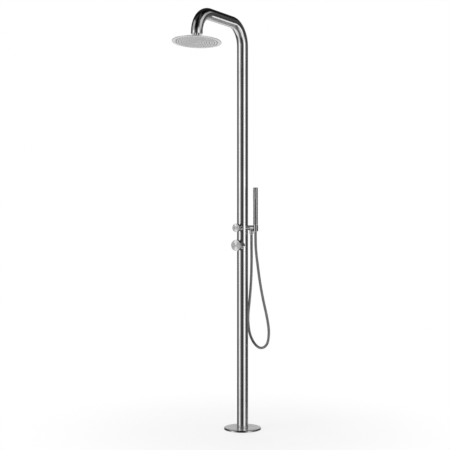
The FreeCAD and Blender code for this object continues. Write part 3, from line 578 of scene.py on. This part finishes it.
def make_sleeves(steel):
    """The short round stubs that hold the two valves, cut to the post's round."""
    for valve, height in VALVE_HEIGHTS.items():
        radius = node_radius(valve + "_sleeve", 2)
        bore = node_radius(valve + "_body") + PUSHED_IN_GAP
        reach = -node_box(valve + "_sleeve")[0][1]
        piece = coped_tube(
            valve + "_sleeve_skin", radius, bore, POST_RADIUS + WELD_GAP, reach,
            (0, 0, height), (0, -1, 0), (1, 0, 0))
        finish_piece(piece, "post", steel, "brushed_steel", valve + "_sleeve")


def knob_steel(name, height, edge):
    """A knob's own turned steel: a face painted pale, as painted light, inside a rim painted darker,
    as painted shade on the knob's side.
    """
    # The rim's darker shade is painted shade on the knob's side and rounded front edge.
    rim_width, rim_painted_shade = 0.8 * MM, 0.45
    return turned_steel(
        name, (0, 0, height), (0, 1, 0), shade=0.90, low=0.42, high=0.49, pull=0.98,
        rim=(edge - rim_width, rim_painted_shade))


def make_knobs():
    """Hollow round knobs, with an eased rim and a face that is turned to a very slight dish."""
    back, hub_back = 55.5 * MM, 54 * MM
    hub, bore, wall, face_thick = 13 * MM, SPINDLE_RADIUS + RUNNING_GAP, 2.5 * MM, 4 * MM
    dish_in_middle, dish_part_way, part_way = 0.15 * MM, 0.05 * MM, 0.55
    for valve, height in VALVE_HEIGHTS.items():
        edge = node_radius(valve + "_knob", 2)
        front = -node_box(valve + "_knob")[0][1]
        inside = front - face_thick
        corners = [
            (0, front - dish_in_middle, 0), (edge * part_way, front - dish_part_way, 0),
            (edge, front, 1.1 * MM),
            (edge, back, 0.8 * MM), (edge - wall, back, 0.4 * MM), (edge - wall, inside, 1.0 * MM),
            (hub, inside, 1.0 * MM), (hub, hub_back, 0.4 * MM), (bore, hub_back, 0.3 * MM),
            (bore, inside, 0), (0, inside, 0),
        ]
        piece = turned(
            valve + "_knob_skin", corners, (0, 0, height), (0, -1, 0), (1, 0, 0), segments=128)
        steel = knob_steel(valve + "_knob_steel", height, edge)
        finish_piece(piece, valve + "_knob", steel, "turned_steel", valve + "_knob")


# ---------------------------------------------------------------- bracket and holder

def make_bracket(steel):
    """A round bar from the post to the holder, both ends cut to the round that they meet.

    Its wall at side y runs from x = sqrt(P^2 - y^2) to x = h - sqrt(H^2 - y^2), P being the
    post's radius, H the holder's and h the holder's place.
    """
    segments = 96
    holder_edge = HOLDER_RADIUS + WELD_GAP
    side, up = circle(BRACKET_RADIUS, segments).T
    near = np.sqrt((POST_RADIUS + WELD_GAP) ** 2 - side ** 2)
    far = HOLDER_X - np.sqrt(holder_edge ** 2 - side ** 2)
    share = np.linspace(0, 1, 9)[:, None]
    x = near + (far - near) * share
    rows = np.stack([x, side + 0 * x, DIVERTER_HEIGHT + up + 0 * x], -1)
    middle_near = np.tile([POST_RADIUS, 0, DIVERTER_HEIGHT], (1, segments, 1))
    middle_far = np.tile([HOLDER_X - holder_edge, 0, DIVERTER_HEIGHT], (1, segments, 1))
    rows = np.concatenate([middle_near, rows, middle_far])
    piece = mesh_piece("bracket_skin", rows, grid_faces(len(rows), segments))
    finish_piece(piece, "post", steel, "brushed_steel", "bracket_arm")


def make_hose_nut(steel):
    """The round nut under the outlet: chamfered ends, four grip grooves, and a bore that is wider
    where the nipple goes in."""
    low, high = (corner[2] for corner in node_box("hose_nut"))
    edge = node_radius("hose_nut")
    chamfer, chamfer_height = 0.6 * MM, 1 * MM
    grooves, groove_pitch, groove_depth, first_groove = 4, 3 * MM, 0.35 * MM, low + 2.2 * MM
    nipple_bore, seat = NIPPLE_RADIUS + RUNNING_GAP, low + 4 * MM
    corners = [
        (HOSE_BORE, low, 0), (edge - chamfer, low, 0.4 * MM), (edge, low + chamfer_height, 0.3 * MM),
    ]
    for i in range(grooves):
        base = first_groove + i * groove_pitch
        corners += [
            (edge, base, 0.1 * MM), (edge - groove_depth, base + 0.3 * MM, 0.1 * MM),
            (edge - groove_depth, base + 0.9 * MM, 0.1 * MM), (edge, base + 1.2 * MM, 0.1 * MM),
        ]
    corners += [
        (edge, high - chamfer_height, 0.3 * MM), (edge - chamfer, high, 0.4 * MM),
        (nipple_bore, high, 0), (nipple_bore, seat, 0), (HOSE_BORE, seat, 0),
    ]
    nut = turned("hose_nut_skin", corners, (OUTLET_X, 0, 0), steps=3)
    finish_piece(nut, "post", steel, "brushed_steel", "hose_nut")
    return nut


def make_hose_ferrule(steel):
    """The tapered ferrule that grips the hose under its nut."""
    low, high = (corner[2] for corner in node_box("hose_ferrule"))
    wide = node_radius("hose_ferrule")
    mouth, shoulder = HOSE_RADIUS + 0.5 * MM, HOSE_RADIUS + 0.7 * MM
    corners = [
        (HOSE_BORE, low, 0), (mouth, low, 0.4 * MM), (shoulder, low + 2 * MM, 1 * MM),
        (wide, high - 1 * MM, 1 * MM), (wide, high, 0.2 * MM), (HOSE_BORE, high, 0),
    ]
    ferrule = turned("hose_ferrule_skin", corners, (OUTLET_X, 0, 0), steps=3)
    finish_piece(ferrule, "post", steel, "brushed_steel", "hose_ferrule")
    return ferrule


def make_outlet_boss(steel):
    """The short round boss between the bracket and the hose's nut, over the outlet nipple."""
    radius, reach = 10 * MM, 13.9 * MM
    boss = coped_tube(
        "outlet_boss", radius, NIPPLE_RADIUS + PUSHED_IN_GAP, BRACKET_RADIUS + WELD_GAP, reach,
        (OUTLET_X, 0, DIVERTER_HEIGHT), (0, 0, -1), (0, 1, 0))
    finish_piece(boss, "post", steel, "brushed_steel")


# ---------------------------------------------------------------- hose

def hose_line():
    """The hose's centre line: the smooth spline that has the route as its control points."""
    data = bpy.data.curves.new("hose_route", "CURVE")
    data.dimensions = "3D"
    data.resolution_u = 24
    spline = data.splines.new("NURBS")
    spline.points.add(len(HOSE_ROUTE) - 1)
    for point, place in zip(spline.points, HOSE_ROUTE):
        point.co = (*[c * MM for c in place], 1)
    spline.order_u = 3
    spline.use_endpoint_u = True
    route = bpy.data.objects.new("hose_route", data)
    bpy.context.scene.collection.objects.link(route)
    bpy.context.view_layer.update()
    mesh = bpy.data.meshes.new_from_object(route)
    line = np.zeros(len(mesh.vertices) * 3)
    mesh.vertices.foreach_get("co", line)
    bpy.data.objects.remove(route)
    bpy.data.meshes.remove(mesh)
    return line.reshape(-1, 3)


def frames_along(line):
    """Normals carried along the line with the least twist, and the binormals across them: each
    normal is the one before it with its part along the new tangent taken out."""
    tangents = np.gradient(line, axis=0)
    tangents /= np.linalg.norm(tangents, axis=1)[:, None]
    normals = [np.cross(tangents[0], [1.0, 0, 0])]
    for tangent in tangents:
        last = normals[-1] - tangent * (normals[-1] @ tangent)
        normals.append(last / np.linalg.norm(last))
    normals = np.array(normals[1:])
    return normals, np.cross(tangents, normals)


def make_hose(material):
    """A round tube carried along the hose's line, closed at both ends. Its UV map holds the
    length along the line and the share of a turn round it."""
    line = hose_line()
    normals, binormals = frames_along(line)
    segments = 24
    points = carried(line, normals, binormals, circle(HOSE_RADIUS, segments))
    ends = np.arange(segments) + np.array([[0], [(len(line) - 1) * segments]])
    faces = grid_faces(len(line), segments).tolist() + ends.tolist()
    mesh = bpy.data.meshes.new("hose_skin")
    mesh.from_pydata(points.reshape(-1, 3).tolist(), [], faces)
    work = bmesh.new()
    work.from_mesh(mesh)
    bmesh.ops.recalc_face_normals(work, faces=work.faces)
    work.to_mesh(mesh)
    work.free()
    lengths = np.concatenate([[0], np.cumsum(np.linalg.norm(np.diff(line, axis=0), axis=1))])
    corners = np.zeros(len(mesh.loops), int)
    mesh.loops.foreach_get("vertex_index", corners)
    row, column = np.divmod(corners, segments)
    along = np.column_stack([lengths[row], column / segments])
    mesh.uv_layers.new(name="along").data.foreach_set("uv", along.ravel())
    mesh.shade_smooth()
    mesh.materials.append(material)
    piece = bpy.data.objects.new("hose_skin", mesh)
    bpy.context.scene.collection.objects.link(piece)
    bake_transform(piece)
    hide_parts("hose")


# ---------------------------------------------------------------- rain head

def tilted(points):
    """Points given from the ball's centre, swung by the head's tilt about the X axis."""
    c, s = math.cos(HEAD_TILT), math.sin(HEAD_TILT)
    turn = np.array([[1, 0, 0], [0, c, s], [0, -s, c]])
    return BALL + points @ turn.T


HEAD_AXIS = tilted(np.array([0, 0, 1.0])) - BALL
HEAD_ACROSS = np.array([1.0, 0, 0])
HEAD_BOTTOM = -19.5 * MM
HEAD_SHEET = 1.3 * MM


def make_head_shell(steel):
    """The thin round head: a gently falling top with a rolled edge, and the hub in its middle."""
    edge, roll = 125 * MM, 7 * MM
    top, fall = -12.5 * MM, 2.5 * MM
    rim, under = top - fall, top - HEAD_SHEET
    hub, socket, hub_top, socket_floor, screw_hole = 13 * MM, 11 * MM, -2 * MM, -11.2 * MM, 4 * MM
    corners = [
        (socket, hub_top, 0.3 * MM), (hub, hub_top, 0.3 * MM), (hub, top, 1.5 * MM),
        (edge - roll, rim, 6 * MM), (edge, rim - 1.2 * MM, 1.0 * MM),
        (edge, HEAD_BOTTOM, 0.5 * MM), (edge - HEAD_SHEET, HEAD_BOTTOM, 0.2 * MM),
        (edge - HEAD_SHEET, rim - 2.6 * MM, 0.3 * MM), (edge - roll, rim - HEAD_SHEET, 0.3 * MM),
        (hub, under, 0.3 * MM), (screw_hole, under, 0), (screw_hole, socket_floor, 0),
        (socket, socket_floor, 0),
    ]
    piece = turned("head_shell_skin", corners, BALL, HEAD_AXIS, HEAD_ACROSS, segments=192)
    finish_piece(piece, "rain_head", steel, "brushed_steel", "head_top_shell")


def nozzle_places():
    """Rings about the middle, ring k with 6k nozzles at radius k times the pitch."""
    rings, pitch, per_ring = 8, 13 * MM, 6
    ring = np.repeat(np.arange(1, rings + 1), np.arange(1, rings + 1) * per_ring)
    count = ring * per_ring
    index = np.concatenate([np.arange(k * per_ring) for k in range(1, rings + 1)])
    angle = TURN * (index + ring / 2) / count
    return np.stack([ring * pitch * np.cos(angle), ring * pitch * np.sin(angle)], -1)


def make_nozzles(silicone):
    """Soft nozzles through the face: each a small cone with a rounded lip and a dark bore.

    One nozzle is its profile's points (r, h) turned to (r cos t, r sin t, h). It is then copied
    to every place.
    """
    segments = 12
    profile = np.array([
        (1.72, 0.0), (1.72, -1.35), (1.55, -2.0), (1.22, -3.45), (1.1, -3.75), (0.85, -3.8),
        (0.55, -3.7), (0.5, -3.2), (0.0, -3.0),
    ]) * MM
    profile[:, 1] += HEAD_BOTTOM + HEAD_SHEET
    t = full_turn(segments)
    radius, height = profile[:, :1], profile[:, 1:]
    one = np.stack([radius * np.cos(t), radius * np.sin(t), height + 0 * t], -1).reshape(-1, 3)
    places = nozzle_places()
    spots = np.column_stack([places, np.zeros(len(places))])
    points = (one[None] + spots[:, None]).reshape(-1, 3)
    faces = grid_faces(len(profile), segments)
    every = (faces[None] + np.arange(len(places))[:, None, None] * len(one)).reshape(-1, 4)
    piece = mesh_piece("head_nozzle_tips", tilted(points), every)
    finish_piece(piece, "rain_head", silicone, "nozzle_silicone")


# ---------------------------------------------------------------- studio

# How bright the surround is, by degrees round from the camera's side towards the image's right.
# Two tall soft lights stand at -67 and 41 degrees, with dark flags between and beside them.
SURROUND_STRENGTH = 1.9
ROUND_LEVELS = [
    (-180, 0.34), (-164, 0.20), (-144, 0.06), (-115, 0.05), (-99, 0.12), (-84, 0.28), (-67, 0.95),
    (-52, 0.46), (-38, 0.13), (-22, 0.03), (0, 0.02), (12, 0.07), (22, 0.34), (41, 1.0),
    (56, 0.43), (70, 0.11), (85, 0.03), (108, 0.025), (126, 0.06), (148, 0.18), (166, 0.30),
    (180, 0.34),
]
# The tall lights' fades, each from one height in degrees to another, and the levels there.
FADES = [(12, 30, 1, 0.05), (-54, -36, 0.15, 1), (-13, -1, 0.8, 1)]
# Panels where the tall lights are dim: (first and last degree round and how soft that edge is,
# then the same for the height in degrees, then the brightness).
PANELS = {
    "low_right": (60, 102, 12, -34, -20, 6, 0.72),
    "arm_line": (111, 123, 7, -24, -15, 4, 0.66),
    "arm_underside": (128, 180, 12, -40, -26, 7, 0.17),
    "high_left": (-95, -55, 12, 24, 46, 8, 0.30),
    "high_right": (58, 94, 12, 18, 38, 7, 0.40),
    "high_back": (98, 113, 7, 22, 32, 5, 0.28),
    "low_back": (160, 180, 8, -27, -16, 5, 0.44),
    "low_back_left": (-180, -168, 8, -27, -16, 5, 0.44),
    "low_left": (-180, -66, 28, -80, -42, 7, 0.56),
    "low_behind": (166, 180, 8, -62, -36, 6, 0.46),
    "under_right": (52, 88, 14, -54, -40, 8, 0.45),
    "under": (-180, 180, 1, -90, -46, 8, 0.10),
}


def round_ramp(paint, share, levels):
    """Brightness by the share of a full turn, from (degrees, level) stops."""
    ramp = paint.add("ShaderNodeValToRGB")
    stops = ramp.color_ramp
    stops.interpolation = "EASE"
    while len(stops.elements) < len(levels):
        stops.elements.new(0.5)
    for element, (degrees, level) in zip(stops.elements, levels):
        element.position = degrees / 360 + 0.5
        element.color = (level, level, level, 1)
    paint.link(share, ramp.inputs[0])
    return ramp.outputs["Color"]


def soft_step(paint, number, low, high, soft, level=1.0):
    """The level between low and high, and nothing past a soft edge on each side."""
    rise = paint.eased(number, 0, level, low - soft, low)
    return paint.times(rise, paint.eased(number, 1, 0, high, high + soft))


def add_surround():
    """A wide sphere that only shiny surfaces see: soft upright lights between dark flags.

    A point at tilt e and turn t is radius (cos e cos t, cos e sin t, sin e) about the middle.
    """
    radius, middle = 60.0, 1.1
    columns, levels = 128, 65
    t = full_turn(columns)
    tilt = np.linspace(-math.pi / 2, math.pi / 2, levels)[:, None]
    rows = np.stack([
        radius * np.cos(tilt) * np.cos(t), radius * np.cos(tilt) * np.sin(t),
        radius * np.sin(tilt) + 0 * t + middle], -1)
    piece = mesh_piece("studio_surround", rows, grid_faces(levels, columns))
    paint = Paint("studio_surround")
    turn = paint.add("ShaderNodeVectorRotate", rotation_type="Z_AXIS")
    turn.inputs["Angle"].default_value = math.pi / 2 - CAMERA_TURN
    paint.link(paint.coordinates, turn.inputs["Vector"])
    split = paint.add("ShaderNodeSeparateXYZ")
    paint.link(turn.outputs[0], split.inputs[0])
    angle = paint.pair("ARCTAN2", split.outputs["Y"], split.outputs["X"])
    sine = paint.between(split.outputs["Z"], -1, 1, middle - radius, middle + radius)
    rise = paint.add("ShaderNodeMath", operation="ARCSINE")
    paint.link(sine, rise.inputs[0])
    height = paint.between(rise.outputs[0], -90, 90, -math.pi / 2, math.pi / 2)
    share = paint.between(angle, 0, 1, -math.pi, math.pi)
    degrees_round = paint.between(share, -180, 180, 0, 1)
    most = round_ramp(paint, share, ROUND_LEVELS)
    for low_at, high_at, low, high in FADES:
        most = paint.times(most, paint.eased(height, low, high, low_at, high_at))
    for first, last, soft, low, high, high_soft, level in PANELS.values():
        panel = paint.times(soft_step(paint, degrees_round, first, last, soft, level),
                            soft_step(paint, height, low, high, high_soft))
        most = paint.pair("MAXIMUM", most, panel)
    glow = paint.add("ShaderNodeEmission")
    paint.link(paint.between(most, 0, SURROUND_STRENGTH, 0, 1), glow.inputs["Strength"])
    paint.surface(glow.outputs[0])
    piece.data.materials.append(paint.material)
    piece.visible_camera = False
    piece.visible_diffuse = False
    piece.visible_shadow = False


def background_rays(paint):
    """1 for the rays that see the background: from the camera, or mirrored or passed on."""
    seen = paint.add("ShaderNodeLightPath")
    most = seen.outputs["Is Camera Ray"]
    for kind in ("Is Glossy Ray", "Is Transmission Ray"):
        most = paint.pair("MAXIMUM", most, seen.outputs[kind])
    return most


def add_floor():
    """A large pale floor: it keeps soft shadows near the part, and fades to plain white."""
    near, far, near_white = 0.15, 1.3, 0.66
    bpy.ops.mesh.primitive_plane_add(size=80, location=(0, 0, 0))
    floor = bpy.context.object
    floor.name = "studio_floor"
    paint = Paint("studio_floor")
    cloud = paint.noise(paint.coordinates, 4.0)
    paint.colour(paint.blend(paint.between(cloud, 0, 1), (0.86, 0.86, 0.86), (0.88, 0.88, 0.88)))
    paint.roughness(paint.between(cloud, 0.6, 0.7))
    away = paint.add("ShaderNodeVectorMath", operation="LENGTH")
    paint.link(paint.coordinates, away.inputs[0])
    fade = paint.eased(away.outputs["Value"], near_white, 1, near, far)
    share = paint.times(fade, background_rays(paint))
    white = paint.add("ShaderNodeEmission")
    mix = paint.add("ShaderNodeMixShader")
    paint.link(share, mix.inputs["Fac"])
    paint.link(paint.shader.outputs[0], mix.inputs[1])
    paint.link(white.outputs[0], mix.inputs[2])
    paint.surface(mix.outputs[0])
    floor.data.materials.append(paint.material)
    floor.visible_glossy = False


def add_lamp(name, place, size, watts, aim):
    """A soft rectangular lamp that lights the part but doesn't mirror in it."""
    data = bpy.data.lights.new(name, "AREA")
    data.shape = "RECTANGLE"
    data.size, data.size_y = size
    data.energy = watts
    lamp = bpy.data.objects.new(name, data)
    lamp.location = place
    back = np.array(place) - np.array(aim)
    lean = math.atan2(math.hypot(back[0], back[1]), back[2])
    lamp.rotation_euler = (lean, 0, math.atan2(back[1], back[0]) + math.pi / 2)
    lamp.visible_glossy = False
    bpy.context.scene.collection.objects.link(lamp)


def add_world():
    """A white background for the camera, and a plain soft light on everything dull."""
    world = bpy.data.worlds.new("studio")
    bpy.context.scene.world = world
    paint = Paint.over(world)
    level = paint.between(background_rays(paint), 0.7, 1, 0, 1)
    background = world.node_tree.nodes["Background"]
    background.inputs["Color"].default_value = (1, 1, 1, 1)
    paint.link(level, background.inputs["Strength"])


# ---------------------------------------------------------------- build

add_camera()

post_steel = brushed_steel("post_steel", (900, 900, 1.2))
# The bracket's steel is a darker copy of the post's steel: painted shade.
shaded_bar_steel = brushed_steel("shaded_bar_steel", (40, 1400, 1400), shade=0.42)
# The cover's steel is painted darker from 96 mm out: painted shade on its rounded edge and side.
cover_steel = turned_steel(
    "cover_steel", (0, 0, 0), (0, 0, 1), shade=0.54, pitch=0.6 * MM, low=0.10, high=0.18, pull=0.6,
    metal=0.65, rim=(96 * MM, 0.43))
small_steel = brushed_steel("small_steel", (1500, 1500, 90))
head_steel = turned_steel(
    "head_steel", tuple(BALL), tuple(np.abs(np.round(HEAD_AXIS))), pitch=0.6 * MM, metal=0.62)
grip_steel = brushed_steel("grip_steel", (1500, 1500, 60), low=0.30, high=0.42, shade=0.38)
ring_steel = brushed_steel("ring_steel", (1500, 1500, 90), low=0.24, high=0.34, shade=0.30)
# The head's face plate steel is painted paler than the post's steel: painted light.
pale_lit_face_steel = brushed_steel("pale_lit_face_steel", (40, 1200, 1200), low=0.26, high=0.36, shade=0.88, metal=0.6)
plate_steel = brushed_steel("plate_steel", (60, 1500, 1500), low=0.34, high=0.46, shade=0.42)
pipe_steel = plain("pipe_steel", (0.46,) * 3, (0.56,) * 3, 300, 0.3, 0.4, Metallic=1.0)
brass = plain("brass", (0.70, 0.53, 0.25), (0.80, 0.64, 0.34), 400, 0.25, 0.38, Metallic=1.0)
rubber = plain("seal_rubber", (0.02,) * 3, (0.035,) * 3, 900, 0.6, 0.75)
silicone = plain("nozzle_silicone", (0.035, 0.035, 0.038), (0.06, 0.06, 0.063), 700, 0.45, 0.6)
ceramic = plain("ceramic", (0.86, 0.85, 0.82), (0.90, 0.89, 0.86), 800, 0.08, 0.16, 0.02)
plastic = plain("white_plastic", (0.74, 0.74, 0.72), (0.80, 0.80, 0.78), 500, 0.4, 0.5)
hose_paint = hose_sleeve()

make_post(post_steel)
make_base_cover(cover_steel)
make_sleeves(small_steel)
make_knobs()
make_bracket(shaded_bar_steel)
nut = make_hose_nut(small_steel)
ferrule = make_hose_ferrule(small_steel)
make_outlet_boss(small_steel)
make_hose(hose_paint)
make_head_shell(head_steel)
make_nozzles(silicone)

smooth_copy("holder_ring", ring_steel)
smooth_copy("hose_cone_nut", small_steel)
for node in ("handset_body", "handset_cap"):
    smooth_copy(node, grip_steel)

# The nodes that no piece stands for keep their own mesh and get their slot's paint.
SLOT_PAINT = {
    "brushed_steel": small_steel, "turned_steel": small_steel, "pipe_steel": pipe_steel,
    "brass": brass, "seal_rubber": rubber, "nozzle_silicone": silicone, "ceramic": ceramic,
    "white_plastic": plastic, "grey_hose": hose_paint,
}
for node, thing in frame["nodes"].items():
    if not thing.hide_render:
        paint_node(node, SLOT_PAINT[slot_of_node(node)])
paint_node("head_face_plate", pale_lit_face_steel)
paint_node("handset_spray_plate", plate_steel)

add_floor()
add_surround()
add_world()
add_lamp("back_lamp", (-1.6, 2.4, 4.6), (3.0, 3.0), 70, (0, -0.2, 1.0))
add_lamp("front_lamp", (-2.5, -4.0, 4.2), (3.0, 3.0), 60, (0, -0.2, 1.0))
